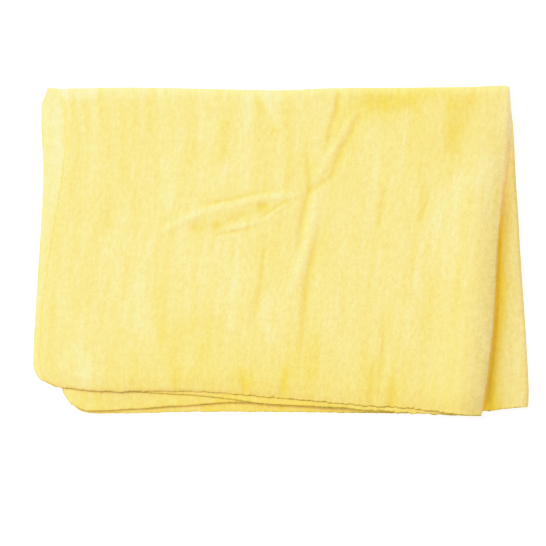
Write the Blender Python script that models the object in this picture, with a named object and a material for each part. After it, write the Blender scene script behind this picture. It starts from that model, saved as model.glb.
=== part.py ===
"""Synthetic chamois: one brushed cloth with rounded corners, folded in quarters and lying flat.

Frame: +X towards the side fold, +Y towards the top fold, +Z up, origin under the middle of the folded cloth.
The first fold turns the cloth over along its side fold, the second folds both layers over the top fold.
From the surface up the four layers are back outer, back inner, front inner and front outer.
"""

import math
from collections import namedtuple

import bmesh
import bpy
from mathutils import Vector

MM = 0.001

# The cut cloth. Half of its length and half of its width make one panel of the folded stack.
CUT_LENGTH = 600.0
CUT_WIDTH = 400.0
CORNER_RADIUS = 18.0
THICKNESS = 1.5

# Air between the layers, from the surface up, and the least that a crease leaves of the top one.
BACK_GAP = 0.7
MIDDLE_GAP = 0.8
FRONT_GAP = 1.0
LEAST_GAP = 0.4

# Each line holds values in millimetres at five even shares of its length.
# Left edges and side folds give X, from the bottom edge up to the top fold.
# Bottom edges and the top fold give Y, from the left edge to the side fold.
Line = namedtuple("Line", "start quarter middle three_quarters end")

LEFT_EDGES = {
    "front outer": Line(-153.5, -152.3, -147.8, -140.8, -148.5),
    "front inner": Line(-160.0, -158.2, -154.8, -153.2, -152.5),
    "back inner": Line(-142.0, -145.5, -148.5, -150.5, -152.5),
    "back outer": Line(-140.5, -143.0, -145.0, -147.0, -148.5),
}
SIDE_FOLDS = {
    "front": Line(128.5, 135.0, 139.5, 144.5, 147.0),
    "back": Line(159.5, 157.4, 153.8, 150.8, 147.0),
}
BOTTOM_EDGES = {
    "front outer": Line(-87.6, -89.5, -92.4, -99.6, -105.6),
    "front inner": Line(-87.0, -90.2, -97.3, -100.8, -105.6),
    "back inner": Line(-103.0, -99.2, -97.4, -101.5, -99.6),
    "back outer": Line(-103.2, -103.0, -103.2, -104.0, -99.6),
}
TOP_FOLD = Line(105.0, 104.2, 104.2, 105.4, 106.4)

# The side folds are puffed up, more so towards the bottom edge, over a spread of cloth beside the fold.
# A fold's reach is how far its round stretch stands out sideways.
FOLD_RISES = {
    "front": Line(2.4, 2.2, 1.6, 0.9, 0.3),
    "back": Line(1.0, 0.9, 0.7, 0.5, 0.3),
}
FOLD_REACHES = {
    "front": Line(6.0, 5.5, 4.4, 3.0, 1.8),
    "back": Line(2.6, 2.4, 2.2, 2.0, 1.8),
}
FOLD_SPREADS = {"front": 42.0, "back": 24.0}

# Creases of the front outer layer: ridges have a positive height, troughs a negative one.
Crease = namedtuple("Crease", "name start_x start_y end_x end_y height width")
CREASES = (
    Crease("trough below the top fold", 36.0, 98.0, 28.0, 66.0, -0.6, 3.5),
    Crease("ridge to the middle", 45.0, 86.0, 25.0, 53.0, 1.7, 5.0),
    Crease("ridge beside the middle", 25.0, 53.0, 20.0, 36.0, 1.2, 5.0),
    Crease("trough right of the middle", 31.0, 66.0, 27.0, 48.0, -0.5, 3.0),
    Crease("ridge down from the middle", 20.0, 36.0, 14.0, -6.0, 1.6, 5.0),
    Crease("ridge fading to the bottom", 14.0, -6.0, 4.0, -60.0, 0.8, 9.0),
    Crease("trough left of the ridge", 15.0, 33.0, 10.0, 2.0, -0.6, 3.5),
    Crease("ridge to the left", 9.0, 38.0, -32.0, 32.0, 1.4, 4.5),
    Crease("ridge fading to the left", -32.0, 32.0, -80.0, 12.0, 1.0, 6.0),
    Crease("lip below the hollow", 5.0, 33.0, -22.0, 16.0, 0.8, 4.0),
    Crease("end of the lip", -22.0, 16.0, -42.0, 12.0, 0.7, 4.5),
    Crease("dent inside the hollow", -28.0, 23.0, -52.0, 18.0, -0.6, 4.0),
    Crease("long soft crease", -10.0, 12.0, -17.0, -42.0, 0.6, 5.0),
)

# Broad waves of the front outer layer: how high they stand, and their length in X and in Y.
WAVE_HEIGHT = 0.3
WAVE_LENGTH_X = 58.0
WAVE_LENGTH_Y = 150.0

# Grid of the cut cloth. A place across it runs 0 to 1 over the outer panel, 1 to 2 round the side fold and
# 2 to 3 back over the inner panel. A place along it runs 0 to 1 up the front flap, 1 to 2 over the top fold
# and 2 to 3 down the back flap.
Run = namedtuple("Run", "name end steps")
ACROSS_RUNS = (
    Run("rounded corner", 0.06, 3),
    Run("plain left part", 0.34, 6),
    Run("hollow", 0.53, 7),
    Run("middle creases", 0.68, 10),
    Run("plain right part", 0.84, 4),
    Run("outer side of the fold", 1.0, 5),
    Run("round the side fold", 2.0, 8),
    Run("inner side of the fold", 2.16, 4),
    Run("plain inner part", 2.94, 8),
    Run("inner rounded corner", 3.0, 3),
)
ALONG_RUNS = (
    Run("rounded corner", 0.09, 3),
    Run("lower part", 0.52, 7),
    Run("left crease", 0.74, 8),
    Run("upper part", 1.0, 5),
    Run("over the top fold", 2.0, 8),
    Run("upper back", 2.4, 3),
    Run("lower back", 2.91, 4),
    Run("back rounded corner", 3.0, 3),
)

CLOTH_COLOR = (0.90, 0.76, 0.30, 1.0)
CLOTH_ROUGHNESS = 0.95


def on_line(line, share):
    """Value at a share of a line's length, on the smooth curve through its values."""
    last = len(line) - 1
    step = min(int(share * last), last - 1)
    local = share * last - step
    before = line[max(step - 1, 0)]
    here = line[step]
    there = line[step + 1]
    after = line[min(step + 2, last)]
    slope = (there - before) / 2
    next_slope = (after - here) / 2
    bend = 3 * (there - here) - 2 * slope - next_slope
    twist = 2 * (here - there) + slope + next_slope
    return here + local * (slope + local * (bend + local * twist))


def soft_step(share):
    share = min(max(share, 0.0), 1.0)
    return share * share * (3 - 2 * share)


def mix(first, second, share):
    return first + (second - first) * share


def stations(runs):
    """Places along one side of the cut cloth, evenly spaced inside each run."""
    places = [0.0]
    for run in runs:
        start = places[-1]
        places.extend(mix(start, run.end, (step + 1) / run.steps) for step in range(run.steps))
    return places


def round_corner(across, along):
    """Pulls a panel place near the cut corner inside the corner's arc. Both shares count from the raw edges."""
    reach_across = CORNER_RADIUS / (CUT_LENGTH / 2)
    reach_along = CORNER_RADIUS / (CUT_WIDTH / 2)
    out_x = 1 - across / reach_across
    out_y = 1 - along / reach_along
    if out_x <= 0 or out_y <= 0:
        return across, along
    pull = max(out_x, out_y) / math.hypot(out_x, out_y)
    return reach_across * (1 - out_x * pull), reach_along * (1 - out_y * pull)


def fold_rise(flap, x, y):
    """How much a flap is puffed up at a plan place by its side fold."""
    bottom = BOTTOM_EDGES[flap + " outer"].end
    up_share = min(max((y - bottom) / (TOP_FOLD.end - bottom), 0.0), 1.0)
    distance = on_line(SIDE_FOLDS[flap], up_share) - x
    return on_line(FOLD_RISES[flap], up_share) * soft_step(1 - distance / FOLD_SPREADS[flap])


def crease_height(x, y):
    """Sum of the creases at a plan place, each fading evenly all round its straight run."""
    height = 0.0
    for crease in CREASES:
        start = Vector((crease.start_x, crease.start_y))
        run = Vector((crease.end_x, crease.end_y)) - start
        offset = Vector((x, y)) - start
        share = min(max(offset.dot(run) / run.length_squared, 0.0), 1.0)
        distance = (offset - run * share).length
        height += crease.height * math.exp(-((distance / crease.width) ** 2))
    return height


def wave_height(x, y):
    return WAVE_HEIGHT * math.sin(math.tau * x / WAVE_LENGTH_X) * math.cos(math.tau * y / WAVE_LENGTH_Y)


def layer_height(layer, x, y):
    """Height of the middle of a layer's thickness above the surface at a plan place."""
    height = THICKNESS / 2
    if layer == "back outer":
        return height
    height += THICKNESS + BACK_GAP + fold_rise("back", x, y)
    if layer == "back inner":
        return height
    height += THICKNESS + MIDDLE_GAP
    if layer == "front inner":
        return height
    uneven = crease_height(x, y) + wave_height(x, y)
    height += THICKNESS + FRONT_GAP + max(uneven, LEAST_GAP - FRONT_GAP)
    return height + fold_rise("front", x, y)


def fold_axis_y(across):
    """Y of the line that the top fold turns round. The fold stands beyond it by its own radius."""
    stack_radius = (4 * THICKNESS + BACK_GAP + MIDDLE_GAP + FRONT_GAP) / 2
    return on_line(TOP_FOLD, across) - stack_radius


def panel_point(layer, across, along):
    """A place of one panel, from its raw left edge (across 0) and raw bottom edge (along 0)."""
    flap = layer.split()[0]
    across, along = round_corner(across, along)
    left = on_line(LEFT_EDGES[layer], along)
    right = on_line(SIDE_FOLDS[flap], along) - on_line(FOLD_REACHES[flap], along) - THICKNESS / 2
    x = mix(left, right, across)
    y = mix(on_line(BOTTOM_EDGES[layer], across), fold_axis_y(across), along)
    return Vector((x, y, layer_height(layer, x, y)))


def flap_point(flap, across, along):
    """A place of one flap: its outer panel, its side fold, then its inner panel."""
    if across <= 1:
        return panel_point(flap + " outer", across, along)
    if across >= 2:
        return panel_point(flap + " inner", 3 - across, along)
    outer = panel_point(flap + " outer", 1.0, along)
    inner = panel_point(flap + " inner", 1.0, along)
    turn = math.pi * (across - 1)
    point = mix(outer, inner, (1 - math.cos(turn)) / 2)
    point.x += on_line(FOLD_REACHES[flap], along) * math.sin(turn)
    return point


def folded_point(across, along):
    """A place of the whole cloth: its front flap, the top fold, then its back flap."""
    if along <= 1:
        return flap_point("front", across, along)
    if along >= 2:
        return flap_point("back", across, 3 - along)
    front = flap_point("front", across, 1.0)
    back = flap_point("back", across, 1.0)
    turn = math.pi * (along - 1)
    point = mix(front, back, (1 - math.cos(turn)) / 2)
    point.y += (front.z - back.z) / 2 * math.sin(turn)
    return point


def cloth_material():
    material = bpy.data.materials.new("chamois")
    material.use_nodes = True
    shader = material.node_tree.nodes["Principled BSDF"]
    shader.inputs["Base Color"].default_value = CLOTH_COLOR
    shader.inputs["Roughness"].default_value = CLOTH_ROUGHNESS
    shader.inputs["Metallic"].default_value = 0.0
    return material


def build_cloth():
    """Folds a grid the size of the cut cloth and gives it its thickness."""
    across_places = stations(ACROSS_RUNS)
    along_places = stations(ALONG_RUNS)
    columns = len(across_places) - 1
    rows = len(along_places) - 1
    shape = bmesh.new()
    bmesh.ops.create_grid(shape, x_segments=columns, y_segments=rows, size=0.5)
    for vert in shape.verts:
        column = round((vert.co.x + 0.5) * columns)
        row = round((vert.co.y + 0.5) * rows)
        vert.co = folded_point(across_places[column], along_places[row]) * MM
    mesh = bpy.data.meshes.new("chamois_cloth")
    shape.to_mesh(mesh)
    shape.free()
    mesh.shade_smooth()
    mesh.materials.append(cloth_material())
    cloth = bpy.data.objects.new("chamois_cloth", mesh)
    bpy.context.scene.collection.objects.link(cloth)
    thickness = cloth.modifiers.new("Thickness", "SOLIDIFY")
    thickness.thickness = THICKNESS * MM
    thickness.offset = 0.0
    return cloth


def stand_on_origin(cloth):
    """Puts the origin under the middle of the finished cloth, on the surface."""
    bpy.context.view_layer.update()
    shape = cloth.evaluated_get(bpy.context.evaluated_depsgraph_get())
    corners = [Vector(corner) for corner in shape.bound_box]
    low = Vector(map(min, *corners))
    high = Vector(map(max, *corners))
    cloth.location = (-(low.x + high.x) / 2, -(low.y + high.y) / 2, -low.z)


for scene_object in list(bpy.data.objects):
    bpy.data.objects.remove(scene_object, do_unlink=True)

stand_on_origin(build_cloth())
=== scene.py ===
import math
from collections import namedtuple

import bmesh
import bpy
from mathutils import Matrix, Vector, noise


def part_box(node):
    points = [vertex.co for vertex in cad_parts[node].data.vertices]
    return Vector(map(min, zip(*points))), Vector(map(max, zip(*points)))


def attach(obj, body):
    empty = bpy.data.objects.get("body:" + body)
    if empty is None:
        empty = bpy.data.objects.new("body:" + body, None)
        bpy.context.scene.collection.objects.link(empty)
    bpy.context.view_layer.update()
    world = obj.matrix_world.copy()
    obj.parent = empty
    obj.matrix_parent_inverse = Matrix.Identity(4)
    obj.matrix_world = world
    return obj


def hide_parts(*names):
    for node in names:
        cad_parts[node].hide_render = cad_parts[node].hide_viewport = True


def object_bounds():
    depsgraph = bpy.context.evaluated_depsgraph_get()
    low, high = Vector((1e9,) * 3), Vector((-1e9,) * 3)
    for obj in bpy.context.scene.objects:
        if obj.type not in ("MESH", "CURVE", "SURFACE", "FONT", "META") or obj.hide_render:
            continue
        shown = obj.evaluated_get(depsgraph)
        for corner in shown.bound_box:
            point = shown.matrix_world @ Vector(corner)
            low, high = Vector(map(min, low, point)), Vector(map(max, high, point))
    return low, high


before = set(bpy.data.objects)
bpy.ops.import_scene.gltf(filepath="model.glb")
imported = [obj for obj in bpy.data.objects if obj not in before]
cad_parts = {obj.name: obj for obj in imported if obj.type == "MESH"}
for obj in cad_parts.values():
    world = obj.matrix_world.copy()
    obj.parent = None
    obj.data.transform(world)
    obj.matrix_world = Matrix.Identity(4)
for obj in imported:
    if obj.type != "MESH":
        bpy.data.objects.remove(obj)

cadLow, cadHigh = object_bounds()
clothLow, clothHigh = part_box("chamois_cloth")
mm = 0.001
halfX = (clothHigh.x - clothLow.x) / 2 / mm
halfY = (clothHigh.y - clothLow.y) / 2 / mm
middleX = (clothHigh.x + clothLow.x) / 2 / mm
middleY = (clothHigh.y + clothLow.y) / 2 / mm
sheetBase = clothLow.z / mm

# Sizes are in millimetres, and plan places are measured from the middle of the cloth's box. A place on the
# flat cut is given across and along it: 0 to 1 is the first panel, 1 to 2 a fold and 2 to 3 the second.
foldMiddle = 1.5
cutEnd = 3
layerOrder = ("frontOuter", "frontInner", "backInner", "backOuter")  # from the top down

# Tables hold values at even shares of a line. Left edges and side folds run up from the bottom edge to the
# top fold and give how far in they lie from that side of the box. Bottom edges run from the left edge to
# the side fold and give how far up they lie from the front of the box, the top fold how far down from its
# back.
cloth = {
    "cutLength": 600.0,  # half of each side makes one panel of the stack
    "cutWidth": 400.0,
    "frontCorner": 14.0,  # radius of the corners cut off the raw edges
    "backCorner": 18.0,
    "thickness": 1.25,
    "edgeThickness": 0.5,  # share of the thickness that is left at a raw edge
    "edgeTaper": 2.2,
    "backGap": 0.8,  # air between the layers, from the surface up
    "middleGap": 0.9,
    "frontGap": 1.1,
    "leastGap": 0.25,
    "edgeGap": 0.2,  # what is left of each gap along the raw edges at the front
    "edgePress": 11.0,  # how far in from there the layers are pressed together
    "topReach": 5.2,  # how far the top fold stands out beyond the line it turns round
    "mostTopReach": 1.05,  # share of that where the stack is thickest
    "foldLength": 5.5,  # length of cloth that goes round a fold
    "leftEdges": {
        "frontOuter": (3.4, 3.4, 4.8, 7.6, 11.0, 15.2, 18.4, 20.2, 17.5),
        "frontInner": (-1.0, -0.7, 0.5, 1.9, 3.4, 4.8, 5.5, 4.4, 4.4),
        "backInner": (17.6, 16.0, 14.5, 12.8, 11.0, 10.0, 9.4, 8.8, 4.4),
        "backOuter": (19.0, 18.5, 18.0, 17.4, 17.0, 17.0, 17.0, 17.0, 17.5),
    },
    "sideFolds": {
        "front": (30.0, 26.3, 23.3, 21.5, 20.3, 18.4, 15.7, 13.2, 12.5),
        "back": (-1.0, 0.0, 1.5, 3.2, 4.9, 6.3, 8.0, 9.0, 11.3),
    },
    "bottomEdges": {
        "frontOuter": (20.4, 16.4, 16.2, 15.9, 13.0, 10.0, 7.0, 4.4, 0.3),
        "frontInner": (20.8, 17.0, 15.4, 13.2, 8.9, 6.4, 4.4, 1.6, 0.3),
        "backInner": (3.0, 4.2, 6.6, 8.9, 8.3, 6.0, 4.4, 2.2, 5.8),
        "backOuter": (1.8, 1.7, 2.6, 2.8, 2.6, 2.0, 1.8, 2.2, 5.8),
    },
    "topFold": (0.3, -0.3, 0.1, 0.9, 1.4, -0.3, -0.3, -0.6, -1.5),
    # the folded corner that shows beside the top layer: how far it stands out, where that ends and over
    # what, how far its edge is drawn in and over what depth
    "innerCorner": {"rise": 4.3, "start": 22.6, "run": 6.0, "pull": 3.4, "depth": 12.0},
    # each side fold is puffed up beside its fold line: how high, how far its round stretch reaches out, how
    # wide, and the share of its height lost towards the fold and over what
    "foldRises": {"front": (2.9, 2.65, 1.7, 0.55, 0.1), "back": (1.0, 0.9, 0.7, 0.5, 0.3)},
    "foldReaches": {"front": (6.0, 5.4, 4.4, 3.0, 1.9), "back": (2.8, 2.5, 2.3, 2.1, 1.9)},
    "foldSpreads": {"front": 44.0, "back": 22.0},
    "foldDroop": {"front": (0.42, 17.0), "back": (0.2, 8.0)},
    # how far in the fold's bottom corner is drawn, and over what
    "foldCorner": {"front": 0.0, "back": 0.9, "depth": 2.4},
    # raw edges: waves of height, length and seed, and how far in from the edge they reach
    "fray": {"waves": ((0.6, 3.4, 0.5), (0.5, 1.0, 4.5)), "depth": 3.0},
    "frayShares": {"left": 0.35, "frontOuter": 0.8, "frontInner": 1.2, "backInner": 1.0, "backOuter": 0.4},
    "frayGrowth": (0.7, 0.6, 0.6 + 1 / 6),  # how much more at the right, and between which shares across
    "frayFades": {"top": 0.25, "fold": 0.125},  # share of a panel over which it ends towards a fold
    "fraySeeds": {"layer": 7.3, "bottom": 3},
    # soft waves of the top layer: height, length along X, length along Y, seed
    "waves": {
        "streaks": (0.16, 13.0, 95.0, 3.1),
        "swell": (0.35, 70.0, 85.0, 8.4),
        "pucker": (0.05, 3.2, 3.2, 1.7),
    },
    # runs of the grid: where each ends, and its number of steps
    "acrossRuns": (
        (0.006, 3), (0.4, 54), (0.74, 92), (1.0, 44), (2.0, 16), (2.2, 26), (2.994, 18), (3.0, 3)),
    "alongRuns": ((0.009, 3), (0.45, 50), (0.72, 44), (1.0, 38), (2.0, 14), (2.991, 20), (3.0, 3)),
}

# A ridge has a positive height, a trough a negative one. The widths are those of its slopes on the left and
# on the right of its path, and each path point is X, Y and the share of the height there.
Crease = namedtuple("Crease", "height leftWidth rightWidth path")
creases = {
    "longRidge": Crease(0.72, 2.6, 2.2, (
        (-84, 10, 0.2), (-70, 16.8, 0.8), (-59, 22.6, 1), (-49, 26.5, 1), (-36, 29.7, 1), (-25, 31.6, 1),
        (-15, 34, 1), (-4, 35.6, 0.9), (10, 37, 0.5))),
    "lineAboveRidge": Crease(-0.56, 1.6, 1.3, (
        (-50, 29.3, 0.1), (-46, 30.9, 0.9), (-26, 35.2, 0.9), (-14, 38.4, 0.6), (4, 40.4, 0.3))),
    "lowerLip": Crease(0.54, 2.0, 1.4, (
        (-43, 12.5, 0.3), (-33, 14.6, 0.9), (-20, 17.7, 1), (-12, 20.6, 0.9), (-2, 27.4, 0.8),
        (6, 33, 0.2))),
    "lineOverLip": Crease(-0.6, 1.3, 1.4, (
        (-14, 21.3, 0.4), (-8.5, 24.6, 1), (-1, 30.2, 1), (6, 34, 0.6))),
    "lineUnderLip": Crease(-0.58, 1.1, 1.2, ((-42, 11.6, 0.8), (-27, 14.0, 1), (-18, 16.2, 0.4))),
    "middleToTop": Crease(-0.4, 1.3, 2.0, (
        (18.4, 40, 1), (17.4, 52, 0.8), (17.0, 64, 0.6), (16.8, 72, 0.1))),
    "troughUnderTop": Crease(-0.56, 1.9, 2.6, (
        (28.8, 64, 0.3), (29.8, 72, 0.7), (32.4, 82, 0.9), (35, 90, 1), (36.8, 101, 0.8))),
    "ridgeToMiddle": Crease(0.46, 1.9, 1.6, (
        (22.5, 46, 0.3), (25.5, 52, 0.8), (29.5, 60, 1), (34.5, 67.5, 1), (41, 78, 1), (46.5, 88, 0.8),
        (49, 93, 0.3))),
    "troughBesideIt": Crease(-0.5, 1.8, 3.2, (
        (31, 50, 0.3), (33.5, 54, 0.7), (36.2, 60, 1), (39.5, 68, 1), (45.5, 78, 0.7), (50, 87, 0.3))),
    "foldToMiddle": Crease(-0.5, 1.4, 1.8, ((21.8, 41.7, 0.8), (28.5, 46.4, 1), (36, 51.3, 0.4))),
    "troughDown": Crease(-0.58, 2.4, 2.2, (
        (11, -5, 0.1), (11.6, 5, 0.8), (13.4, 18, 1), (15.8, 31, 1), (18, 39, 1))),
    "ridgeDown": Crease(0.5, 3.2, 2.8, (
        (8, -24, 0.2), (13, -9, 0.8), (17, 7, 1), (19.6, 18, 1), (21.6, 29, 1), (23.5, 37, 0.6))),
    "troughRightOfIt": Crease(-0.52, 2.6, 3.8, (
        (13.5, -60, 0.2), (14.5, -46, 0.6), (15.2, -31, 0.9), (16.2, -21, 1), (17.6, -11, 1),
        (20.2, -2, 1), (23.4, 8, 0.7), (27, 21, 0.3))),
    "longSoftLine": Crease(-0.32, 1.3, 3.0, (
        (-19, -50, 0.3), (-17.2, -38, 1), (-14.5, -24, 1), (-12, -5, 0.7), (-9.5, 16, 0.4))),
    "shortLineOne": Crease(-0.46, 1.3, 2.2, ((62.8, 18, 0.9), (64.8, 30, 1), (66, 40, 0.4))),
    "shortLineTwo": Crease(-0.42, 1.3, 2.4, ((90.4, 22, 0.7), (93, 31, 0.9), (94.3, 41, 0.4))),
    "farSoftLine": Crease(-0.14, 1.4, 2.2, ((85, -32, 0.4), (83.8, 8, 1), (81.2, 30, 0.6))),
    "lowerSoftLine": Crease(-0.46, 1.1, 1.8, (
        (62, -92, 0.6), (63.4, -82, 0.9), (66, -57, 1), (65.3, -40, 0.4))),
    "faintUpright": Crease(-0.12, 1.5, 2.6, ((39.5, -95, 0.5), (39.5, -50, 1), (39.5, -12, 0.4))),
    "leftSoftLine": Crease(-0.2, 1.5, 2.4, ((-115, 6, 0.4), (-112.5, 22, 1), (-110, 36, 0.4))),
    "cornerSlope": Crease(-0.4, 7.0, 9.0, ((108, 62, 0.3), (113, 79, 1), (122, 98, 0.6))),
    "edgeRippleOne": Crease(-0.26, 1.6, 2.0, ((-24.5, -94, 1), (-24.8, -84, 1), (-24.3, -75, 0.2))),
    "edgeRippleTwo": Crease(-0.26, 2.0, 3.0, ((-1.5, -96, 1), (1, -84, 1), (4, -74, 0.2))),
    "edgeRippleThree": Crease(-0.24, 2.0, 3.0, ((57, -98, 1), (59, -80, 1), (61, -62, 0.2))),
    "edgeRippleFour": Crease(-0.34, 1.8, 2.4, ((71, -101, 1), (72.4, -88, 1), (73.5, -78, 0.2))),
}

# Round dents: place, half length along X, half length along Y, height.
Dent = namedtuple("Dent", "x y halfX halfY height")
dents = {
    "hollowOne": Dent(-11.7, 29.2, 3.6, 3.0, -0.62),
    "hollowTwo": Dent(-25.2, 24.0, 3.4, 2.6, -0.5),
    "hollowThree": Dent(-31.8, 21.6, 3.2, 2.4, -0.46),
    "hollowFour": Dent(-41.3, 17.0, 4.2, 3.6, -0.7),
    "hollowFive": Dent(-54.2, 15.8, 4.4, 3.6, -0.52),
    "topDip": Dent(64.0, 97, 14.0, 5.0, -0.35),
}

# Tone on the top face, the nap's uneven colour together with painted shade and highlight: more than 0 is a
# deeper yellow, less is paler. A streak has a path, an amount and a width.
Streak = namedtuple("Streak", "path amount width")
deepStreaks = (
    Streak(((-117, 104), (-114.5, 84), (-111.5, 72), (-110.5, 58), (-112, 18)), 0.45, 2.8),
    Streak(((-102, 92), (-102, 72)), 0.35, 1.8),
    Streak(((-104, 60), (-98, 42), (-94.5, 28)), 0.35, 2.2),
    Streak(((-94.5, 96), (-94.5, 82)), 0.40, 1.8),
    Streak(((-85, 104), (-85, 78)), 0.50, 1.8),
    Streak(((-60, 70), (-60, 58)), 0.30, 3.0),
    Streak(((-36.5, 82), (-38, 62)), 0.50, 3.2),
    Streak(((-15.5, 98), (-10, 86), (-5.5, 78)), 0.45, 2.8),
    Streak(((-12, 76), (-12, 44)), 0.30, 5.0),
    Streak(((2, 102), (5, 80), (6.3, 48)), 0.45, 2.6),
    Streak(((13.5, 62), (16.5, 42)), 0.30, 2.6),
    Streak(((46, 90), (62, 93), (80, 97)), 0.62, 8.0),
    Streak(((83.5, 99), (90, 88), (89, 62), (91, 36), (89, 22)), 0.42, 2.8),
    Streak(((110, 95.5), (123, 98)), 0.45, 4.5),
    Streak(((112.5, 92), (109.5, 68)), 0.36, 6.5),
    Streak(((103, 58), (103, 46)), 0.25, 5.0),
    Streak(((-101, -2), (-101, -30)), 0.30, 2.2),
    Streak(((-105, -52), (-111.5, -74)), 0.30, 3.0),
    Streak(((-95.5, -65), (-95.5, -84)), 0.35, 2.2),
    Streak(((-80.5, -26), (-77.5, -48), (-73, -62), (-68.5, -82)), 0.45, 4.8),
    Streak(((-51.5, -60), (-56, -82)), 0.55, 2.6),
    Streak(((-54, -46), (-42, -50)), 0.25, 6.0),
    Streak(((-26, -77), (-23, -86)), 0.55, 3.6),
    Streak(((-13, -1), (-14, -18), (-17.5, -32)), 0.35, 3.2),
    Streak(((3, -76), (3, -90)), 0.40, 3.6),
    Streak(((18, -58), (20.5, -76)), 0.40, 8.0),
    Streak(((58, -72), (56, -92)), 0.45, 4.0),
    Streak(((70.5, -82), (70.5, -98)), 0.50, 3.6),
    Streak(((79.5, -64), (79.5, -84)), 0.30, 2.6),
    Streak(((67.5, 9), (67, 5)), 0.30, 3.0),
    Streak(((46, 9), (52, 5)), 0.20, 4.0),
    Streak(((97.5, -17), (97.5, -28)), 0.30, 4.0),
    Streak(((112.5, -21), (112.5, -41)), 0.25, 4.6),
    Streak(((-148, -36), (-151.5, -70)), 0.30, 2.4),
    Streak(((-140, 92), (-142.5, 42), (-146, 0)), 0.30, 2.2),
)
paleStreaks = (
    Streak(((-142, 103), (-132, 101), (-122, 104)), 0.50, 3.5),
    Streak(((-140, 104), (-139, 88)), 0.40, 3.0),
    Streak(((-132, 98), (-136, 60)), 0.15, 6.0),
    Streak(((-106.5, 54), (-104.5, 28), (-110.5, -2)), 0.30, 3.0),
    Streak(((-85, 6), (-85, -1)), 0.35, 2.0),
    Streak(((-74.5, 58), (-73, 30)), 0.40, 4.0),
    Streak(((-51.5, 102), (-51.5, 72)), 0.50, 2.6),
    Streak(((-46, 44), (-34, 56)), 0.30, 5.0),
    Streak(((-21.5, 98), (-23.5, 68), (-23.5, 44)), 0.50, 3.4),
    Streak(((-8, 100), (-5.5, 86)), 0.60, 4.2),
    Streak(((21.5, 94), (21.5, 62)), 0.25, 3.6),
    Streak(((79.5, 88), (77, 60)), 0.35, 3.4),
    Streak(((56, 74), (62, 64)), 0.20, 8.0),
    Streak(((111, 40), (103, 16), (101, -12)), 0.35, 8.0),
    Streak(((132, 58), (124, 46)), 0.35, 7.0),
    Streak(((-50, -8), (-44, -18)), 0.20, 15.0),
    Streak(((-28, -8), (-32.5, -50)), 0.35, 4.2),
    Streak(((14.0, 7), (12.4, -9)), 0.35, 2.4),
    Streak(((-9.5, -30), (-12, -44), (-7, -54)), 0.40, 4.4),
    Streak(((2, 28), (1, -2)), 0.30, 2.4),
    Streak(((-90.5, -24), (-88, -50)), 0.30, 6.0),
    Streak(((-132, -42), (-124, -46)), 0.22, 6.0),
    Streak(((-132, -66), (-126, -80)), 0.32, 8.5),
    Streak(((-60, -56), (-60, -72)), 0.30, 4.0),
    Streak(((79.5, -38), (84, -60)), 0.30, 4.6),
    Streak(((87.5, -16), (91.5, -30)), 0.30, 2.8),
    Streak(((34, -54), (38, -64)), 0.20, 6.0),
)
# Wide soft areas of a deeper or paler tone: place, half length along X, half length along Y, tone.
deepAreas = {
    "lowMiddle": Dent(-25, -84, 62, 34, 0.36),
    "lowRight": Dent(86, -78, 48, 44, 0.26),
    "topRight": Dent(90, 86, 42, 30, 0.16),
    "lowLeftPatch": Dent(-62, -56, 18, 14, 0.3),
    "betweenRipples": Dent(11, -72, 9, 13, 0.45),
    "besideStrip": Dent(-138, 78, 10, 28, 0.35),
    "topLeft": Dent(-53, 92, 10, 12, 0.3),
    "underRidge": Dent(-16, 29, 14, 7, 0.35),
    "topEdgeOne": Dent(57, 100, 9, 6, 0.4),
    "topEdgeTwo": Dent(95, 102, 10, 6, 0.5),
    "besideTrough": Dent(46, 74, 9, 12, 0.35),
    "leftOfRidge": Dent(1, 6, 4, 24, 0.45),
    "rightOfRidge": Dent(32, -8, 10, 16, 0.2),
    "right": Dent(106, -16, 14, 24, 0.18),
    "lowLeft": Dent(-130, -82, 24, 8, -0.2),
}


def mix(first, second, share):
    return first + (second - first) * share


def clamped(share):
    return min(max(share, 0.0), 1.0)


def softStep(share):
    share = clamped(share)
    return share * share * (3 - 2 * share)


def ramp(value, start, end):
    return softStep((value - start) / (end - start))


def bell(distance, width):
    return math.exp(-(distance / width) ** 2)


def onLine(values, share):
    last = len(values) - 1
    step = min(int(share * last), last - 1)
    local = share * last - step
    here, there = values[step], values[step + 1]
    slope = (there - values[max(step - 1, 0)]) / 2
    nextSlope = (values[min(step + 2, last)] - here) / 2
    bend = 3 * (there - here) - 2 * slope - nextSlope
    twist = 2 * (here - there) + slope + nextSlope
    return here + local * (slope + local * (bend + local * twist))


def boxShare(x):
    return clamped((x + halfX) / (2 * halfX))


def inFromFold(flap, up, x):
    return halfX - onLine(cloth["sideFolds"][flap], up) - x


def inFromEdge(across, along):
    fromSide = min(across, cutEnd - across) * cloth["cutLength"]
    fromFront = min(along, cutEnd - along) * cloth["cutWidth"]
    return min(fromSide, fromFront) / 2


def layerOf(across, along):
    if along < foldMiddle:
        return "frontOuter" if across < foldMiddle else "frontInner"
    return "backInner" if across > foldMiddle else "backOuter"


def creaseHeight(crease, x, y):
    # nearest place on the crease's path, then the slope of the side that the point lies on
    best = None
    for (ax, ay, aShare), (bx, by, bShare) in zip(crease.path, crease.path[1:]):
        runX, runY = bx - ax, by - ay
        share = clamped(((x - ax) * runX + (y - ay) * runY) / (runX * runX + runY * runY))
        offX, offY = x - ax - runX * share, y - ay - runY * share
        square = offX * offX + offY * offY
        if best is None or square < best[0]:
            best = (square, mix(aShare, bShare, share), runX * offY - runY * offX)
    square, strength, side = best
    width = crease.leftWidth if side > 0 else crease.rightWidth
    return crease.height * strength * math.exp(-square / (width * width))


def dentHeight(dent, x, y):
    return dent.height * math.exp(-((x - dent.x) / dent.halfX) ** 2 - ((y - dent.y) / dent.halfY) ** 2)


def creasesAt(x, y):
    return sum(creaseHeight(crease, x, y) for crease in creases.values())


def dentsAt(places, x, y):
    return sum(dentHeight(place, x, y) for place in places.values())


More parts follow.
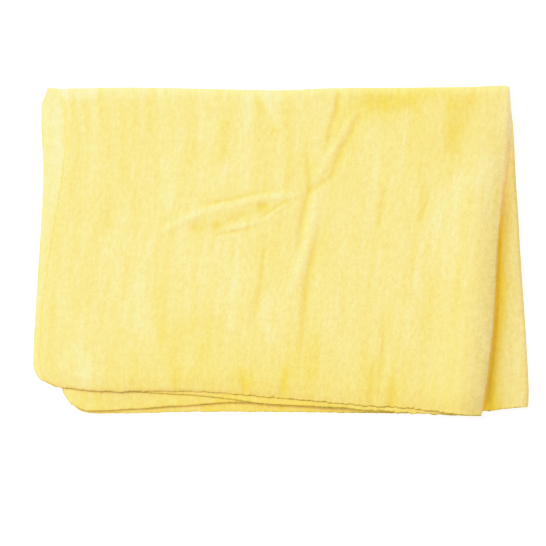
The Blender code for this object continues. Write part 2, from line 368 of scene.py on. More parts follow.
def unevenness(x, y):
    height = creasesAt(x, y) + dentsAt(dents, x, y)
    for waveHeight, lengthX, lengthY, seed in cloth["waves"].values():
        height += waveHeight * noise.noise(Vector((x / lengthX, y / lengthY, seed)))
    return height


def foldRise(flap, x, y):
    bottom = -halfY + cloth["bottomEdges"][flap + "Outer"][-1]
    up = clamped((y - bottom) / (halfY - cloth["topFold"][-1] - bottom))
    distance = inFromFold(flap, up, x)
    droop, droopWidth = cloth["foldDroop"][flap]
    lost = droop * softStep(1 - distance / droopWidth)
    spread = softStep(1 - distance / cloth["foldSpreads"][flap])
    return onLine(cloth["foldRises"][flap], up) * spread * (1 - lost)


def pressed(gap, y, bottom):
    # the layers lie closer together along their raw edges at the front
    return mix(cloth["edgeGap"], gap, softStep((y - bottom) / cloth["edgePress"]))


def layerHeight(layer, x, y):
    height = cloth["thickness"] / 2
    if layer == "backOuter":
        return height
    bottom = -halfY + onLine(cloth["bottomEdges"]["frontOuter"], boxShare(x))
    taper = softStep((y - bottom) / cloth["edgeTaper"])
    edge = cloth["thickness"] * mix(cloth["edgeThickness"], 1.0, taper)
    height += cloth["thickness"] + cloth["backGap"] + foldRise("back", x, y)
    if layer == "backInner":
        return height
    height += (cloth["thickness"] + edge) / 2 + pressed(cloth["middleGap"], y, bottom)
    if layer == "frontInner":
        return height
    height += edge + pressed(cloth["frontGap"], y, bottom) + foldRise("front", x, y)
    return height + max(unevenness(x, y), cloth["leastGap"] - cloth["frontGap"])


def roundCorner(radius, across, along):
    reachAcross = radius / (cloth["cutLength"] / 2)
    reachAlong = radius / (cloth["cutWidth"] / 2)
    outX = 1 - across / reachAcross
    outY = 1 - along / reachAlong
    if outX <= 0 or outY <= 0:
        return across, along
    pull = max(outX, outY) / math.hypot(outX, outY)
    return reachAcross * (1 - outX * pull), reachAlong * (1 - outY * pull)


def foldLineY(across):
    return halfY - onLine(cloth["topFold"], across) - cloth["topReach"] - cloth["thickness"] / 2


def fraying(place, seed):
    return sum(waveHeight * noise.noise(Vector((place / length, seed, level)))
               for waveHeight, length, level in cloth["fray"]["waves"])


def panelPoint(layer, across, along):
    flap = "front" if layer.startswith("front") else "back"
    depth, fades, shares = cloth["fray"]["depth"], cloth["frayFades"], cloth["frayShares"]
    seed = cloth["fraySeeds"]["layer"] * layerOrder.index(layer)
    fromLeft, fromBottom = across * cloth["cutLength"] / 2, along * cloth["cutWidth"] / 2
    across, along = roundCorner(cloth[flap + "Corner"], across, along)
    left = onLine(cloth["leftEdges"][layer], along) - halfX
    right = inFromFold(flap, along, 0.0) - onLine(cloth["foldReaches"][flap], along)
    x = mix(left, right - cloth["thickness"] / 2, across)
    y = mix(onLine(cloth["bottomEdges"][layer], across) - halfY, foldLineY(across), along)
    leftShare = shares["left"] * softStep(1 - fromLeft / depth) * softStep((1 - along) / fades["top"])
    x += leftShare * fraying(y, seed)
    more, start, end = cloth["frayGrowth"]
    bottomShare = shares[layer] * (1 + more * ramp(across, start, end))
    bottomShare *= softStep(1 - fromBottom / depth) * softStep((1 - across) / fades["fold"])
    y += bottomShare * fraying(x, seed + cloth["fraySeeds"]["bottom"])
    return Vector((x, y, layerHeight(layer, x, y)))


def flapPoint(flap, across, along):
    if across <= 1:
        return panelPoint(flap + "Outer", across, along)
    if across >= 2:
        return panelPoint(flap + "Inner", cutEnd - across, along)
    outer = panelPoint(flap + "Outer", 1.0, along)
    inner = panelPoint(flap + "Inner", 1.0, along)
    turn = math.pi * (across - 1)
    point = mix(outer, inner, (1 - math.cos(turn)) / 2)
    corner = cloth["foldCorner"]
    drawnIn = corner[flap] * bell(along * cloth["cutWidth"] / 2, corner["depth"])
    point.x += (onLine(cloth["foldReaches"][flap], along) - drawnIn) * math.sin(turn)
    return point


def cornerShare(x):
    corner = cloth["innerCorner"]
    return softStep((corner["start"] - x - halfX) / corner["run"])


def foldedPoint(across, along):
    corner = cloth["innerCorner"]
    if along <= 1:
        point = flapPoint("front", across, along)
    elif along >= 2:
        point = flapPoint("back", across, cutEnd - along)
    else:
        front = flapPoint("front", across, 1.0)
        back = flapPoint("back", across, 1.0)
        turn = math.pi * (along - 1)
        point = mix(front, back, (1 - math.cos(turn)) / 2)
        stack = 3 * cloth["thickness"] + cloth["backGap"] + cloth["middleGap"] + cloth["frontGap"]
        reach = cloth["topReach"] * min((front.z - back.z) / stack, cloth["mostTopReach"])
        if across > foldMiddle:
            reach += corner["rise"] * cornerShare(point.x)
        point.y += reach * math.sin(turn)
    if across > foldMiddle:  # the inner layers' corner is drawn in towards the fold
        above = point.y - halfY + cloth["topFold"][0] + corner["depth"]
        point.x += corner["pull"] * cornerShare(point.x) * softStep(above / corner["depth"])
    return point


def stations(runs):
    places = [0.0]
    for end, steps in runs:
        start = places[-1]
        places.extend(mix(start, end, (step + 1) / steps) for step in range(steps))
    return places


def flatPlace(share, panelLength):
    # where a share of 0 to 3 lies on the flat cut, in metres
    fold = cloth["foldLength"]
    panel = panelLength - fold / 2
    return (min(share, 1) * panel + clamped(share - 1) * fold + max(share - 2, 0) * panel) * mm


goldSpot = Dent(-28.7, -95.6, 4.0, 2.4, 1.3)  # where the raw edges cross
tones = {
    # painted shade: troughs and dents are drawn deeper, and ridges paler as painted highlight
    "crease": 1.5,  # how much deeper a trough a millimetre deep is, and how much paler a ridge
    "dent": 1.7,
    "ridge": 0.6,
    "bottomBand": 0.35,
    "bottomBandWidth": 14.0,
    # painted highlight along the top fold's rim where less than 0, deeper in a few stretches
    "foldBand": (0.1, -0.2, -0.22, -0.12, -0.2, -0.02, 0.14, 0.13, -0.2),  # top fold's rim, from the left
    "foldBandWidth": 2.0,
    # painted shade on the layers below the top one, under its edge
    "under": (0.45, 0.5, 0.75, 1.0, 1.1, 1.0, 0.8, 0.5, 0.45),  # layers below the top one, from the left
    "strip": (-0.2, -0.45),  # the inner layer that shows at the left: low down and high up
    "stripRise": (0.15, 0.65),  # shares of the way up between which it changes
    "stripEnd": (35.2, 22.0),  # how far from the left of the box it ends, and over what
    "flap": -0.05,
    "flapStart": -6.0,  # how far beyond the front fold the flap's own tone starts
    # painted light: the side fold and the flap next to it are paler high up, and next to the fold
    "highFold": -1.6,  # the side fold and the flap next to it high up, where no gap shows
    "gapCloses": (0.55, 0.75),  # shares of the way up between which the gap beside the fold ends
    "nextToFold": (-0.2, -1.6),  # low down and high up
    "nextToFoldWidth": 2.6,
    # painted shadow beside the front fold: how much deeper the flap is and over what, from the bottom up
    "besideFold": (3.1, 2.8, 2.7, 2.6, 2.5, 1.5, 0.8, 0.15, 0.0),
    "besideFoldWidth": (12.0, 7.4, 6.8, 7.2, 6.2, 7.6, 7.0, 6.0, 6.0),
    # painted highlight along the front side fold's rim
    "foldRim": -0.5,
    "foldRimWidth": 1.6,
    # deeper along every raw edge: partly the cut fibres, partly painted shade
    "rawEdge": 0.45,
    "rawEdgeWidth": 1.2,
}


def pathDistance(path, x, y):
    best = math.inf
    for (ax, ay), (bx, by) in zip(path, path[1:]):
        runX, runY = bx - ax, by - ay
        share = clamped(((x - ax) * runX + (y - ay) * runY) / (runX * runX + runY * runY))
        best = min(best, math.hypot(x - ax - runX * share, y - ay - runY * share))
    return best


def streaksAt(streaks, x, y):
    return sum(streak.amount * bell(pathDistance(streak.path, x, y), streak.width) for streak in streaks)


def topTone(x, y, along):
    # painted shade in the troughs and dents, painted highlight on the ridges
    creased = creasesAt(x, y)
    tone = -creased * (tones["ridge"] if creased > 0 else tones["crease"])
    tone += dentsAt(deepAreas, x, y) - dentsAt(dents, x, y) * tones["dent"]
    tone += streaksAt(deepStreaks, x, y) - streaksAt(paleStreaks, x, y)
    tone += tones["bottomBand"] * bell(along * cloth["cutWidth"] / 2, tones["bottomBandWidth"])
    # painted highlight along the top fold's rim
    fromTop = (1 - along) * cloth["cutWidth"] / 2
    tone += onLine(tones["foldBand"], boxShare(x)) * bell(fromTop, tones["foldBandWidth"])
    # painted highlight along the front fold's rim
    return tone + tones["foldRim"] * bell(inFromFold("front", along, x), tones["foldRimWidth"])


def toneAt(across, along, x, y):
    # partly painted shade along the raw edges
    edge = tones["rawEdge"] * bell(inFromEdge(across, along), tones["rawEdgeWidth"])
    if along <= 1 and across <= 1:
        return topTone(x, y, along) + edge
    # painted shade on the layers under the top one
    under = onLine(tones["under"], boxShare(x)) + dentHeight(goldSpot, x, y)
    if along <= foldMiddle and across > 1:  # the side fold and the layer under it, which shows at the left
        # painted light on the side fold high up
        under = mix(under, tones["highFold"], ramp(along, *tones["gapCloses"]))
        end, width = tones["stripEnd"]
        strip = mix(*tones["strip"], ramp(along, *tones["stripRise"]))
        under = mix(under, strip, softStep((end - x - halfX) / width))
        return mix(topTone(x, y, min(along, 1.0)), under, softStep(across - 1)) + edge
    if along < 2:
        return topTone(x, y, 1.0)
    up = clamped(cutEnd - along)
    beyond = -inFromFold("front", up, x)
    if beyond <= tones["flapStart"]:
        return under + edge
    # painted shadow of the front fold on the flap
    beside = onLine(tones["besideFold"], up) * bell(max(beyond, 0.0), onLine(tones["besideFoldWidth"], up))
    # painted light next to the front fold
    nextTo = mix(*tones["nextToFold"], ramp(up, *tones["gapCloses"]))
    return tones["flap"] + beside + nextTo * bell(beyond, tones["nextToFoldWidth"]) + edge


# Painted shade: the share of the light taken off the colour on the slope down to the front fold, on the
# flap beyond it, next to an edge that lies over it and in the creases. Less than 0 is painted light,
# brighter.
shades = {
    "slope": 0.25,
    "slopeWidth": 23.0,
    "slopeFade": (2.5, 2.2),  # the slope's share at the bottom, held at 1, and how much it falls going up
    # along the front fold and on the flap next to it, from the bottom up
    "foldLine": (-0.16, -0.16, -0.16, -0.16, -0.18, -0.34, -0.28, -0.12, -0.05),
    "foldLineWidth": 2.3,
    "flap": 0.18,
    "flapStart": 7.0,  # the fold keeps the light off the flap next to it, so the painted shade need not
    "flapEnd": (11.0, 9.0, 0.35),  # where it grows lighter again, over what, and by what share
    "nextToFold": (-0.44, -0.36, -0.38, -0.38, -0.34, -0.48, -0.46, -0.26, -0.12),
    "nextToFoldWidth": 2.5,
    # what is left of the fold's shadow further out, from the bottom up. It takes every colour alike
    "band": (0.24, 0.11, 0.07, 0.10, 0.13, 0.15, 0.04, 0.0, 0.0),
    "bandPlace": 4.8,
    "bandWidth": 2.3,
    "underEdge": 0.11,
    "underEdgeWidth": 0.9,
    "margin": 1.0,  # how far inside an edge or a fold its shade still counts
    "trough": 0.12,
    "ridge": 0.03,
    "grain": 0.13,
    "tint": (0.0, 0.34, 0.52),  # what is left of red, green and blue where all the light is lost
}


def shadeAt(across, along, x, y):
    layer = layerOf(across, along)
    up = min(along, cutEnd - along, 1.0)
    toFold = inFromFold("front", up, x)
    if layer == "frontOuter" or along < 1 and across < 2:
        most, fall = shades["slopeFade"]
        slope = shades["slope"] * softStep(1 - toFold / shades["slopeWidth"]) * softStep(most - fall * up)
        line = onLine(shades["foldLine"], up) * bell(toFold, shades["foldLineWidth"])
        creased = creasesAt(x, y) + dentsAt(dents, x, y)
        return slope + line - creased * (shades["ridge"] if creased > 0 else shades["trough"])
    shade = 0.0
    for over in layerOrder[:layerOrder.index(layer)]:
        below = -halfY + onLine(cloth["bottomEdges"][over], boxShare(x)) - y
        if below > -shades["margin"]:
            shade = max(shade, shades["underEdge"] * bell(max(below, 0.0), shades["underEdgeWidth"]))
    if along > foldMiddle and toFold < shades["margin"]:
        start, width, share = shades["flapEnd"]
        lighter = 1 - share * softStep((-toFold - start) / width)
        shade += shades["flap"] * softStep(-toFold / shades["flapStart"]) * lighter
        shade += onLine(shades["nextToFold"], up) * bell(min(toFold, 0.0), shades["nextToFoldWidth"])
    return shade


def bandAt(along, x):
    up = min(cutEnd - along, 1.0)
    toFold = inFromFold("front", up, x)
    if along < 2 or toFold > shades["margin"]:
        return 0.0
    return onLine(shades["band"], up) * bell(toFold + shades["bandPlace"], shades["bandWidth"])


# How dark each raw edge is drawn: partly its darker cut fibres, partly painted shade along the edge.
edgeShades = {
    "width": 0.9,
    "leastWidth": 0.3,  # share of the width that is left where it is least
    "knots": 1.3,  # how much the width changes along the edge, over what, and the seed of that
    "knotLength": 2.4,
    "knotSeed": 6.2,
    "frontOuterLeft": (0.05, 0.12, 0.25, 0.45, 0.55, 0.50, 0.25, 0.05, 0.0),
    "frontInnerLeft": (0.1, 0.1, 0.1, 0.1, 0.1, 0.1, 0.1, 0.1, 0.1),
    "frontOuter": (0.4, 0.82, 0.78, 0.85, 1.15, 1.4, 1.4, 1.45, 1.5),
    "frontInner": (0.8, 0.85, 0.9, 1.15, 1.35, 1.4, 1.4, 1.4, 1.3),
    "backInner": (0.8, 0.85, 0.9, 1.0, 1.0, 0.9, 0.9, 0.9, 0.9),
    "backOuter": (0.45, 0.45, 0.45, 0.55, 0.7, 1.1, 1.6, 1.5, 1.1),
}


def edgeShading(across, along, x, y):
    layer = layerOf(across, along)
    right, up = min(across, cutEnd - across, 1.0), min(along, cutEnd - along, 1.0)
    if along < foldMiddle and right * cloth["cutLength"] < up * cloth["cutWidth"]:
        dark = onLine(edgeShades[layer + "Left"], up)
    else:
        dark = onLine(edgeShades[layer], right)
    knotLength = edgeShades["knotLength"]
    knot = noise.noise(Vector((x / knotLength, y / knotLength, edgeShades["knotSeed"])))
    width = edgeShades["width"] * max(1 + edgeShades["knots"] * knot, edgeShades["leastWidth"])
    return dark * softStep(1 - inFromEdge(across, along) / width)


def makeCloth():
    acrossPlaces, alongPlaces = stations(cloth["acrossRuns"]), stations(cloth["alongRuns"])
    columns, rows = len(acrossPlaces) - 1, len(alongPlaces) - 1
    gridHalf = 0.5
    bm = bmesh.new()
    bmesh.ops.create_grid(bm, x_segments=columns, y_segments=rows, size=gridHalf)
    flatCut = bm.loops.layers.uv.new("flatCut")
    floats = bm.verts.layers.float
    tone, edgeShade, shade, band = map(floats.new, ("tone", "edgeShade", "shade", "band"))
    weights = bm.verts.layers.deform.verify()
    origin = Vector((middleX, middleY, sheetBase))
    places = {}
    for vert in bm.verts:
        across = acrossPlaces[round((vert.co.x + gridHalf) * columns)]
        along = alongPlaces[round((vert.co.y + gridHalf) * rows)]
        places[vert] = (flatPlace(across, cloth["cutLength"] / 2), flatPlace(along, cloth["cutWidth"] / 2))
        point = foldedPoint(across, along)
        # the tone holds the nap's uneven colour with painted shade and light; shade and band hold painted
        # shade and light
        vert[tone] = toneAt(across, along, point.x, point.y)
        vert[edgeShade] = edgeShading(across, along, point.x, point.y)
        vert[shade] = shadeAt(across, along, point.x, point.y)
        vert[band] = bandAt(along, point.x)
        vert[weights][0] = 1 - softStep(1 - inFromEdge(across, along) / cloth["edgeTaper"])
        vert.co = (point + origin) * mm
    for face in bm.faces:
        for loop in face.loops:
            loop[flatCut].uv = places[loop.vert]
    mesh = bpy.data.meshes.new("foldedChamois")
    bm.to_mesh(mesh)
    bm.free()
    mesh.shade_smooth()
    piece = bpy.data.objects.new("foldedChamois", mesh)
    bpy.context.scene.collection.objects.link(piece)
    piece.vertex_groups.new(name="fullThickness")
    solid = piece.modifiers.new("clothThickness", "SOLIDIFY")
    solid.thickness = cloth["thickness"] * mm
    solid.offset = 0.0
    solid.vertex_group = "fullThickness"
    solid.thickness_vertex_group = cloth["edgeThickness"]
    solid.material_offset_rim = 1
    print("cloth", columns, "by", rows)
    return piece


def feed(tree, node, sockets):
    for name, value in sockets.items():
        if isinstance(value, bpy.types.NodeSocket):
            tree.links.new(value, node.inputs[name])
        else:
            node.inputs[name].default_value = value


def addNode(tree, kind, sockets=None, **settings):
    # the settings come first, because they decide which sockets a node has
    node = tree.nodes.new(kind)
    for name, value in settings.items():
        setattr(node, name, value)
    feed(tree, node, sockets or {})
    return node


def compute(tree, operation, *values, clamp=False):
    node = addNode(tree, "ShaderNodeMath", dict(enumerate(values)), operation=operation, use_clamp=clamp)
    return node.outputs["Value"]


def startGroup(name, inputs, outputs, kind="ShaderNodeTree"):
    group = bpy.data.node_groups.new(name, kind)
    for direction, sockets in (("INPUT", inputs), ("OUTPUT", outputs)):
        for label, socketKind in sockets.items():
            group.interface.new_socket(name=label, in_out=direction, socket_type="NodeSocket" + socketKind)
    given = group.nodes.new("NodeGroupInput").outputs if inputs else None
    return group, given, group.nodes.new("NodeGroupOutput")


def placeGroup(tree, group, sockets):
    return addNode(tree, "ShaderNodeGroup", sockets, node_tree=group).outputs


def startMaterial(name):
    material = bpy.data.materials.new(name)
    material.use_nodes = True
    return material, material.node_tree, material.node_tree.nodes["Principled BSDF"]


def attributeValue(tree, name):
    return addNode(tree, "ShaderNodeAttribute", attribute_name=name).outputs["Fac"]


def spreadRange(tree, value, old, new=(0.0, 1.0)):
    return addNode(tree, "ShaderNodeMapRange", {
        "Value": value,
        "From Min": old[0],
        "From Max": old[1],
        "To Min": new[0],
        "To Max": new[1],
    }).outputs["Result"]


dyeAndPaintedShade = {
    # from the clearest, for painted light beside the side fold, through the palest nap to the gold of
    # painted shadow in the deepest folds, and each colour's share of the range of tones
    "colours": {
        "clear": (0.975, 0.830, 0.470),
        "palest": (0.975, 0.776, 0.372),
        "pale": (0.962, 0.724, 0.288),
        "main": (0.946, 0.666, 0.218),
        "deep": (0.880, 0.602, 0.122),
        "gold": (0.945, 0.588, 0.046),
    },
    "colourPlaces": (0.0, 0.125, 0.25, 0.375, 0.625, 0.875),
    "toneRange": (-1.5, 2.5),
    # how uneven the nap's colour is: amount, length of the blotches both ways in metres, and where they
    # start
    "blotches": {
        "streaks": (1.32, (0.0066, 0.085), (2.3, 1.61, 0)),
        "mottle": (1.04, (0.0034, 0.022), (7.1, 4.97, 0)),
    },
    "blotchDetail": 3.0,
    "blotchMiddle": 0.5,  # brightness of a blotch that leaves the tone as it is
    "grain": 0.26,
    # colour of the raw edges' dark lines: darker cut fibres and painted shade
    "fibreShadeColour": (0.258, 0.244, 0.024),
    "fibreShadeHeights": (0.28, 0.60),  # nap heights between which the cut fibres and painted edge shade show
    "cutEdgeDeeper": 1.0,  # how much deeper the tone is on the cut rim
    "roughness": 0.92,
    "specular": 0.12,
    "sheen": 0.25,
    "sheenRoughness": 0.45,
    "sheenTint": (1.0, 0.93, 0.66),
}
# Sizes of the nap are in metres.
nap = {
    "fibreSize": 0.0008,
    "fibreStretch": (1.0, 0.55, 1.0),
    "tuftSize": 0.0026,
    "tuftStretch": (1.0, 0.6, 1.0),
    "tuftShare": 0.5,
    "detail": 2.0,
    "roughness": 0.6,
    "speckleHeights": (0.3, 0.7),
    "bumpStrength": 1.0,
    "bumpDistance": 0.00034,
    "cutBumpDistance": 0.0004,
}


def napGroup():
    inputs = {"Place": "Vector", "Fibre Size": "Float", "Tuft Size": "Float"}
    group, given, outside = startGroup("brushedNap", inputs, {"Height": "Float", "Speckle": "Float"})
    grains = []
    for size, stretch in (("Fibre Size", nap["fibreStretch"]), ("Tuft Size", nap["tuftStretch"])):
        place = addNode(group, "ShaderNodeMapping", {"Vector": given["Place"], "Scale": stretch})
        grains.append(addNode(group, "ShaderNodeTexNoise", {
            "Vector": place.outputs["Vector"],
            "Scale": compute(group, "DIVIDE", 1.0, given[size]),
            "Detail": nap["detail"],
            "Roughness": nap["roughness"],
        }).outputs["Fac"])
    fibre, tuft = grains
    both = addNode(group, "ShaderNodeMix", {"Factor": nap["tuftShare"], "A": fibre, "B": tuft})
    height = both.outputs["Result"]
    speckle = spreadRange(group, height, nap["speckleHeights"], (-1.0, 1.0))
    feed(group, outside, {"Height": height, "Speckle": speckle})
    return group


def unevenDyeGroup():
    inputs = {"Place": "Vector", "Tone": "Float", "Speckle": "Float"}
    group, given, outside = startGroup("unevenDye", inputs, {"Tone": "Float"})
    tone = given["Tone"]
    for amount, (lengthX, lengthY), start in dyeAndPaintedShade["blotches"].values():
        place = addNode(group, "ShaderNodeMapping", {
            "Vector": given["Place"],
            "Location": start,
            "Scale": (1 / lengthX, 1 / lengthY, 1),
        })
        blotches = addNode(group, "ShaderNodeTexNoise", {
            "Vector": place.outputs["Vector"],
            "Scale": 1.0,
            "Detail": dyeAndPaintedShade["blotchDetail"],
        })
        centred = compute(group, "SUBTRACT", blotches.outputs["Fac"], dyeAndPaintedShade["blotchMiddle"])
        tone = compute(group, "MULTIPLY_ADD", centred, amount, tone)
    tone = compute(group, "MULTIPLY_ADD", given["Speckle"], dyeAndPaintedShade["grain"], tone)
    feed(group, outside, {"Tone": tone})
    return group


def toneColourGroup():
    inputs = {"Tone": "Float", "Deeper": "Float"}
    group, given, outside = startGroup("toneColour", inputs, {"Color": "Color"})
    tone = compute(group, "ADD", given["Tone"], given["Deeper"])
    colours = addNode(group, "ShaderNodeValToRGB", {"Fac": spreadRange(group, tone, dyeAndPaintedShade["toneRange"])})
    stops = colours.color_ramp.elements
    first, *between, last = dyeAndPaintedShade["colourPlaces"]
    stops[0].position = first
    stops[1].position = last
    for place in between:
        stops.new(place)
    for stop, colour in zip(stops, dyeAndPaintedShade["colours"].values()):
        stop.color = (*colour, 1)
    feed(group, outside, {"Color": colours.outputs["Color"]})
    return group


def edgeFibreShadeGroup():
    # darker cut fibres and painted shade along the raw edges
    inputs = {"Color": "Color", "Height": "Float", "Amount": "Float"}
    group, given, outside = startGroup("edgeFibresAndShade", inputs, {"Color": "Color"})
    shown = spreadRange(group, given["Height"], dyeAndPaintedShade["fibreShadeHeights"])
    fibres = addNode(group, "ShaderNodeMix", {
        "Factor": compute(group, "MULTIPLY", given["Amount"], shown, clamp=True),
        "A": given["Color"],
        "B": (*dyeAndPaintedShade["fibreShadeColour"], 1),
    }, data_type="RGBA")
    feed(group, outside, {"Color": fibres.outputs["Result"]})
    return group


def paintedShadeAndLightGroup():
    inputs = {"Color": "Color", "Speckle": "Float", "Lost": "Float", "Band": "Float"}
    group, given, outside = startGroup("paintedShadeAndLight", inputs, {"Color": "Color"})
    # painted shade takes light off the colour and painted light adds it
    lost = compute(group, "MULTIPLY_ADD", given["Speckle"], shades["grain"], given["Lost"])
    gained = compute(group, "MAXIMUM", compute(group, "MULTIPLY", lost, -1.0), 0.0)
    light = compute(group, "SUBTRACT", compute(group, "ADD", gained, 1.0), given["Band"])
    lit = addNode(group, "ShaderNodeHueSaturation", {"Color": given["Color"], "Value": light})
    tinted = addNode(group, "ShaderNodeMix", {
        "Factor": compute(group, "MAXIMUM", lost, 0.0),
        "A": lit.outputs["Color"],
        "B": (*shades["tint"], 1),
    }, data_type="RGBA", blend_type="MULTIPLY", clamp_factor=False)
    feed(group, outside, {"Color": tinted.outputs["Result"]})
    return group


def brushedMaterial(name, groups, deeper, bumpDistance):
    material, tree, shader = startMaterial(name)
    place = addNode(tree, "ShaderNodeUVMap", uv_map="flatCut").outputs["UV"]
    brushed = placeGroup(tree, groups["nap"], {
        "Place": place,
        "Fibre Size": nap["fibreSize"],
        "Tuft Size": nap["tuftSize"],
    })
    uneven = placeGroup(tree, groups["unevenDye"], {
        "Place": place,
        "Tone": attributeValue(tree, "tone"),
        "Speckle": brushed["Speckle"],
    })
    # colour from the tone, painted shade and light included
    coloured = placeGroup(tree, groups["toneColour"], {"Tone": uneven["Tone"], "Deeper": deeper})
    # darker cut fibres and painted shade along the raw edges
    edged = placeGroup(tree, groups["cutEdge"], {
        "Color": coloured["Color"],
        "Height": brushed["Height"],
        "Amount": attributeValue(tree, "edgeShade"),
    })
    # painted shade and light from the shade and band attributes
    shaded = placeGroup(tree, groups["paintedShadeAndLight"], {
        "Color": edged["Color"],
        "Speckle": brushed["Speckle"],
        "Lost": attributeValue(tree, "shade"),
        "Band": attributeValue(tree, "band"),
    })
    bump = addNode(tree, "ShaderNodeBump", {
        "Height": brushed["Height"],
        "Strength": nap["bumpStrength"],
        "Distance": bumpDistance,
    })
    feed(tree, shader, {
        "Base Color": shaded["Color"],
        "Roughness": dyeAndPaintedShade["roughness"],
        "Specular IOR Level": dyeAndPaintedShade["specular"],
        "Sheen Weight": dyeAndPaintedShade["sheen"],
        "Sheen Roughness": dyeAndPaintedShade["sheenRoughness"],
        "Sheen Tint": (*dyeAndPaintedShade["sheenTint"], 1),
        "Normal": bump.outputs["Normal"],
    })
    return material


fuzz = {
    "rimDensity": 2.4e6,  # fibres to a square metre of the cut rim
    "foldDensity": 1.6e5,  # and of the folds, where the nap stands out sideways
    "foldTurn": (0.75, 0.35),  # how upright a face is where those begin and where they are densest
    "length": 0.0013,
    "radius": 0.00007,
    "bend": 260.0,
    "spread": 0.75,
    "scales": (0.35, 1.25),
    "sides": 3,
    "steps": 3,
    "tones": (-1.2, 0.8),
    "roughness": 0.8,
    "seed": 11,
}


def partsOf(tree, vector):
    return addNode(tree, "ShaderNodeSeparateXYZ", {"Vector": vector}).outputs


def joinedParts(tree, parts):
    return addNode(tree, "ShaderNodeCombineXYZ", parts).outputs["Vector"]


def randomValue(tree, low, high, seed, kind="FLOAT"):
    sockets = {"Min": low, "Max": high, "Seed": fuzz["seed"] + seed}
    return addNode(tree, "FunctionNodeRandomValue", sockets, data_type=kind).outputs["Value"]


def fuzzGroup(source, material):
    group, _, outside = startGroup("growFuzz", {}, {"Geometry": "Geometry"}, "GeometryNodeTree")
    sheet = addNode(group, "GeometryNodeObjectInfo", {"Object": source}).outputs["Geometry"]

    # where they grow: the rim has the second material, a fold has faces that look sideways
    rim = addNode(group, "GeometryNodeInputMaterialIndex").outputs["Material Index"]
    normal = addNode(group, "GeometryNodeInputNormal").outputs["Normal"]
    upright = compute(group, "ABSOLUTE", partsOf(group, normal)["Z"])
    onFold = spreadRange(group, upright, fuzz["foldTurn"], (0.0, fuzz["foldDensity"]))
    roots = addNode(group, "GeometryNodeDistributePointsOnFaces", {
        "Mesh": sheet,
        "Density": compute(group, "MULTIPLY_ADD", rim, fuzz["rimDensity"], onFold),
        "Seed": fuzz["seed"],
    }).outputs

    # one fibre, thin at its tip and bent over
    fibre = addNode(group, "GeometryNodeMeshCone", {
        "Vertices": fuzz["sides"],
        "Side Segments": fuzz["steps"],
        "Radius Top": 0.0,
        "Radius Bottom": fuzz["radius"],
        "Depth": fuzz["length"],
    })
    up = partsOf(group, addNode(group, "GeometryNodeInputPosition").outputs["Position"])["Z"]
    lean = compute(group, "MULTIPLY", compute(group, "MULTIPLY", up, up), fuzz["bend"])
    bent = addNode(group, "GeometryNodeSetPosition", {
        "Geometry": fibre.outputs["Mesh"],
        "Offset": joinedParts(group, {"X": lean}),
    })

    # each stands off its face, tilted and turned its own way
    tilt = randomValue(group, (-fuzz["spread"],) * 3, (fuzz["spread"],) * 3, 1, "FLOAT_VECTOR")
    direction = addNode(group, "ShaderNodeVectorMath", {0: roots["Normal"], 1: tilt})
    turn = joinedParts(group, {"Z": randomValue(group, 0.0, 2 * math.pi, 2)})
    turning = addNode(group, "FunctionNodeEulerToRotation", {"Euler": turn})
    aligned = addNode(group, "FunctionNodeAlignRotationToVector", {
        "Rotation": turning.outputs["Rotation"],
        "Vector": direction.outputs["Vector"],
    }, axis="Z")
    grown = addNode(group, "GeometryNodeInstanceOnPoints", {
        "Points": roots["Points"],
        "Instance": bent.outputs["Geometry"],
        "Rotation": aligned.outputs["Rotation"],
        "Scale": randomValue(group, *fuzz["scales"], 3),
    })
    toned = addNode(group, "GeometryNodeStoreNamedAttribute", {
        "Geometry": grown.outputs["Instances"],
        "Name": "fibreTone",
        "Value": randomValue(group, *fuzz["tones"], 4),
    }, data_type="FLOAT", domain="INSTANCE")
    joined = addNode(group, "GeometryNodeRealizeInstances", {"Geometry": toned.outputs["Geometry"]})

    # none goes below the face that the cloth lies on
    spot = partsOf(group, addNode(group, "GeometryNodeInputPosition").outputs["Position"])
    above = compute(group, "MAXIMUM", spot["Z"], clothLow.z)
    laid = addNode(group, "GeometryNodeSetPosition", {
        "Geometry": joined.outputs["Geometry"],
        "Position": joinedParts(group, {"X": spot["X"], "Y": spot["Y"], "Z": above}),
    })
    painted = addNode(group, "GeometryNodeSetMaterial", {
        "Geometry": laid.outputs["Geometry"],
        "Material": material,
    })
    feed(group, outside, {"Geometry": painted.outputs["Geometry"]})
    return group


def fibreMaterial(groups):
    material, tree, shader = startMaterial("looseFibre")
    coloured = placeGroup(tree, groups["toneColour"], {"Tone": attributeValue(tree, "fibreTone"), "Deeper": 0.0})
    feed(tree, shader, {
        "Base Color": coloured["Color"],
        "Roughness": fuzz["roughness"],
        "Specular IOR Level": dyeAndPaintedShade["specular"],
        "Sheen Weight": dyeAndPaintedShade["sheen"],
        "Sheen Tint": (*dyeAndPaintedShade["sheenTint"], 1),
    })
    return material


def makeFuzz(clothPiece, groups):
    fibres = bpy.data.objects.new("looseFibres", bpy.data.meshes.new("looseFibres"))
    bpy.context.scene.collection.objects.link(fibres)
    growing = fibres.modifiers.new("growFuzz", "NODES")
    growing.node_group = fuzzGroup(clothPiece, fibreMaterial(groups))
    bpy.context.view_layer.update()
    graph = bpy.context.evaluated_depsgraph_get()
    mesh = bpy.data.meshes.new_from_object(
        fibres.evaluated_get(graph), preserve_all_data_layers=True, depsgraph=graph)
    fibres.modifiers.clear()
    fibres.data = mesh
    mesh.name = "looseFibres"
    print("fibres", len(mesh.polygons), "faces")
    return fibres


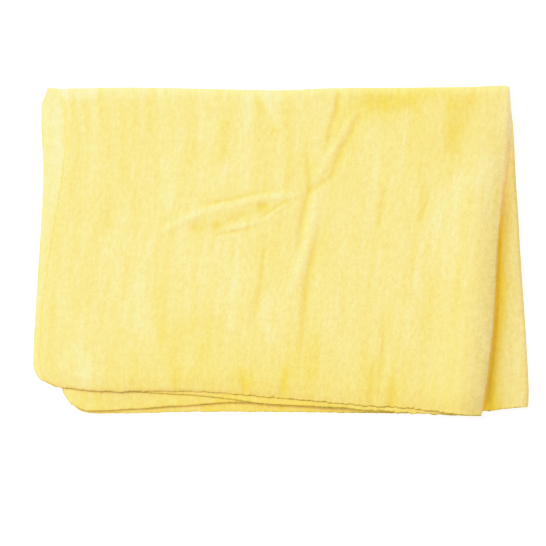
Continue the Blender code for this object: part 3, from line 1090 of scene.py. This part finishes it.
stage = {
    "viewWidth": 0.3516,  # how much of the surface the camera takes in
    "viewOffset": (-0.0055, -0.0135),
    "lens": 180.0,
    "clipEnd": 20.0,
    "keyFrom": (-0.82, 0.46, 0.95),
    "keyDistance": 5.0,
    "keySize": 2.2,
    "keyPower": 215.0,
    "skyStrength": 0.69,
    "floorColour": (0.9, 0.9, 0.9),
    "floorRoughness": 0.8,
    "floorGlow": 0.7,
    "floorSize": 6.0,
    # soft shoulder of the camera's exposure: brightness in and out
    "brightest": 2.0,
    "shoulder": ((0.75, 0.75), (0.85, 0.828), (1.0, 0.905), (1.2, 0.956), (1.5, 0.993), (1.75, 1.0)),
}


def makeStage():
    scene = bpy.context.scene
    bm = bmesh.new()
    bmesh.ops.create_grid(bm, x_segments=1, y_segments=1, size=stage["floorSize"] / 2)
    bmesh.ops.translate(bm, verts=bm.verts, vec=(0, 0, cadLow.z))
    mesh = bpy.data.meshes.new("floor")
    bm.to_mesh(mesh)
    bm.free()
    floor = bpy.data.objects.new("floor", mesh)
    scene.collection.objects.link(floor)
    paint, tree, shader = startMaterial("floorWhite")
    feed(tree, shader, {
        "Base Color": (*stage["floorColour"], 1),
        "Roughness": stage["floorRoughness"],
        "Emission Color": (1, 1, 1, 1),
        "Emission Strength": stage["floorGlow"],
    })
    mesh.materials.append(paint)

    world = bpy.data.worlds.new("studio")
    scene.world = world
    world.use_nodes = True
    sky = world.node_tree.nodes["Background"]
    feed(world.node_tree, sky, {"Color": (1, 1, 1, 1), "Strength": stage["skyStrength"]})

    lamp = bpy.data.lights.new("key", "AREA")
    lamp.shape = "SQUARE"
    lamp.size = stage["keySize"]
    lamp.energy = stage["keyPower"]
    key = bpy.data.objects.new("key", lamp)
    scene.collection.objects.link(key)
    direction = Vector(stage["keyFrom"]).normalized()
    key.location = direction * stage["keyDistance"]
    key.rotation_euler = direction.to_track_quat("Z", "Y").to_euler()

    lens = bpy.data.cameras.new("camera")
    lens.lens = stage["lens"]
    lens.clip_end = stage["clipEnd"]
    camera = bpy.data.objects.new("camera", lens)
    scene.collection.objects.link(camera)
    distance = stage["viewWidth"] * lens.lens / lens.sensor_width
    camera.location = (*stage["viewOffset"], cadHigh.z + distance)
    scene.camera = camera
    view = scene.view_settings
    view.view_transform = "Standard"
    view.use_curve_mapping = True
    view.curve_mapping.white_level = [stage["brightest"]] * 3
    allChannels = view.curve_mapping.curves[3]
    for bright, shown in stage["shoulder"]:
        allChannels.points.new(bright / stage["brightest"], shown)
    view.curve_mapping.update()
    print("stage set", round(distance, 3), "from camera to cloth")


piece = makeCloth()
groups = {
    "nap": napGroup(),
    "unevenDye": unevenDyeGroup(),
    "toneColour": toneColourGroup(),
    "cutEdge": edgeFibreShadeGroup(),
    "paintedShadeAndLight": paintedShadeAndLightGroup(),
}
napColour = brushedMaterial("brushedChamois", groups, 0.0, nap["bumpDistance"])
cutColour = brushedMaterial("cutEdge", groups, dyeAndPaintedShade["cutEdgeDeeper"], nap["cutBumpDistance"])
piece.data.materials.append(napColour)
piece.data.materials.append(cutColour)
print("materials", napColour.name, cutColour.name)
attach(piece, "root")
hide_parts("chamois_cloth")
fibres = makeFuzz(piece, groups)
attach(fibres, "root")
makeStage()
